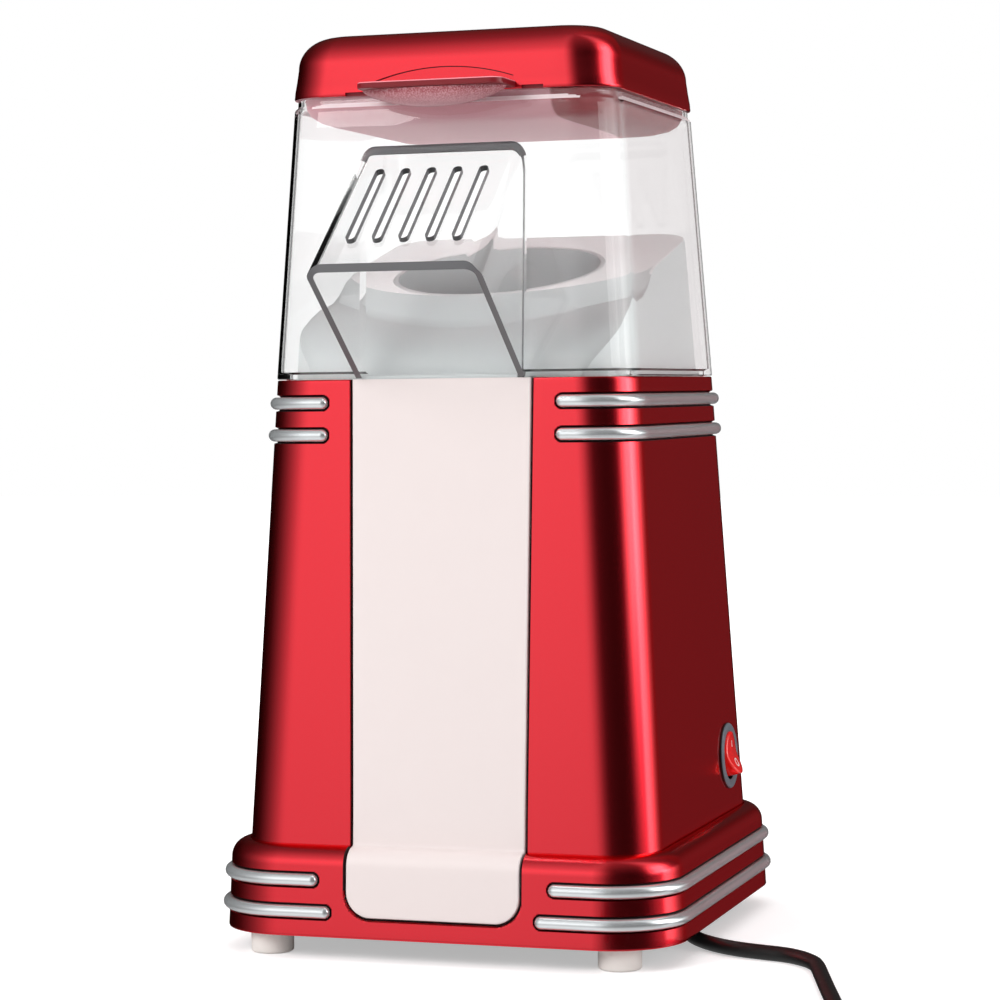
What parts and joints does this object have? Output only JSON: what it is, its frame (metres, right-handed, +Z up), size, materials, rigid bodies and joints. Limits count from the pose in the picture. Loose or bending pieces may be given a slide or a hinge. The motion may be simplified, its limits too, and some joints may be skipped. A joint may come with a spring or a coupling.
{
  "type": "popcorn maker",
  "caption": "Square hot-air popcorn maker with a clear lift-off cover, a slotted chute hood, a cup-shaped cap and a rocker switch on its side.",
  "frame": {"origin": "middle of the appliance on the surface it stands on, without its cord", "axes": "+X to the appliance's own left as it faces you (the side with the switch), +Y to its back, +Z up; the chute faces -Y"},
  "size_m": [0.2317, 0.3146, 0.3077],
  "materials": {
    "red_paint": "candy-red metallic gloss",
    "dark_plastic": "moulded matt",
    "foot_rubber": "matt",
    "cream_plastic": "gloss",
    "zinc_steel": "zinc-plated",
    "polished_steel": "ground",
    "trim_metal": "satin chrome",
    "clear_plastic": "clear polycarbonate",
    "pink_clear_plastic": "tinted, frosted",
    "white_plastic": "fine matt",
    "drum_aluminium": "drawn and anodised",
    "red_silicone": "silicone",
    "mica": "mica sheet",
    "heater_wire": "oxidised resistance wire",
    "brass": "plated",
    "board_green": "circuit board",
    "black_plastic": "moulded",
    "bezel_grey": "satin",
    "rocker_red": "gloss",
    "lead_brown": "insulated wire",
    "cord_black": "matt sheath"
  },
  "bodies": {
    "stand": {"base_housing": "red_paint", "bottom_plate": "dark_plastic", "feet": "foot_rubber", "base_screws": "zinc_steel", "body_shell": "red_paint", "front_panel": "cream_plastic", "base_trim_lower": "trim_metal", "base_trim_upper": "trim_metal", "body_trim_lower": "trim_metal", "body_trim_upper": "trim_metal", "popcorn_guide": "white_plastic", "mouth_collar": "white_plastic", "guide_screws": "zinc_steel", "popping_drum": "drum_aluminium", "drum_gasket": "red_silicone", "drum_sleeve": "zinc_steel", "heater_former": "mica", "heater_coil": "heater_wire", "thermostat": "brass", "thermal_fuse": "zinc_steel", "fan_housing": "dark_plastic", "housing_screws": "zinc_steel", "motor_bracket": "zinc_steel", "motor_can": "zinc_steel", "motor_screws": "zinc_steel", "rectifier_board": "board_green", "rectifier_diodes": "black_plastic", "switch_bezel": "bezel_grey", "switch_body": "dark_plastic", "switch_terminals": "brass", "switch_leads": "lead_brown", "cord_relief": "cord_black", "power_cord": "cord_black", "cord_coil": "cord_black", "plug_body": "cord_black", "plug_pins": "brass"},
    "cover": {"clear_cover": "clear_plastic", "chute_hood": "clear_plastic"},
    "cap": {"top_cap": "red_paint", "tab_grip": "pink_clear_plastic"},
    "rocker": {"switch_rocker": "rocker_red"},
    "fan": {"motor_shaft": "polished_steel", "fan_impeller": "white_plastic"}
  },
  "joints": [
    {"name": "cover_lift", "type": "slide", "parent": "stand", "child": "cover", "axis": [0, 0, 1], "range_m": [0, 0.07]},
    {"name": "cap_lift", "type": "slide", "parent": "cover", "child": "cap", "axis": [0, 0, 1], "range_m": [0, 0.03]},
    {"name": "rocker_tilt", "type": "hinge", "parent": "stand", "child": "rocker", "pos_m": [0.0688, 0.0523, 0.05658], "axis": [0, 1, 0], "range_deg": [0, 24]},
    {"name": "fan_spin", "type": "hinge", "parent": "stand", "child": "fan", "pos_m": [0, 0.0139, 0.05], "axis": [0, 0, 1], "continuous": true}
  ]
}
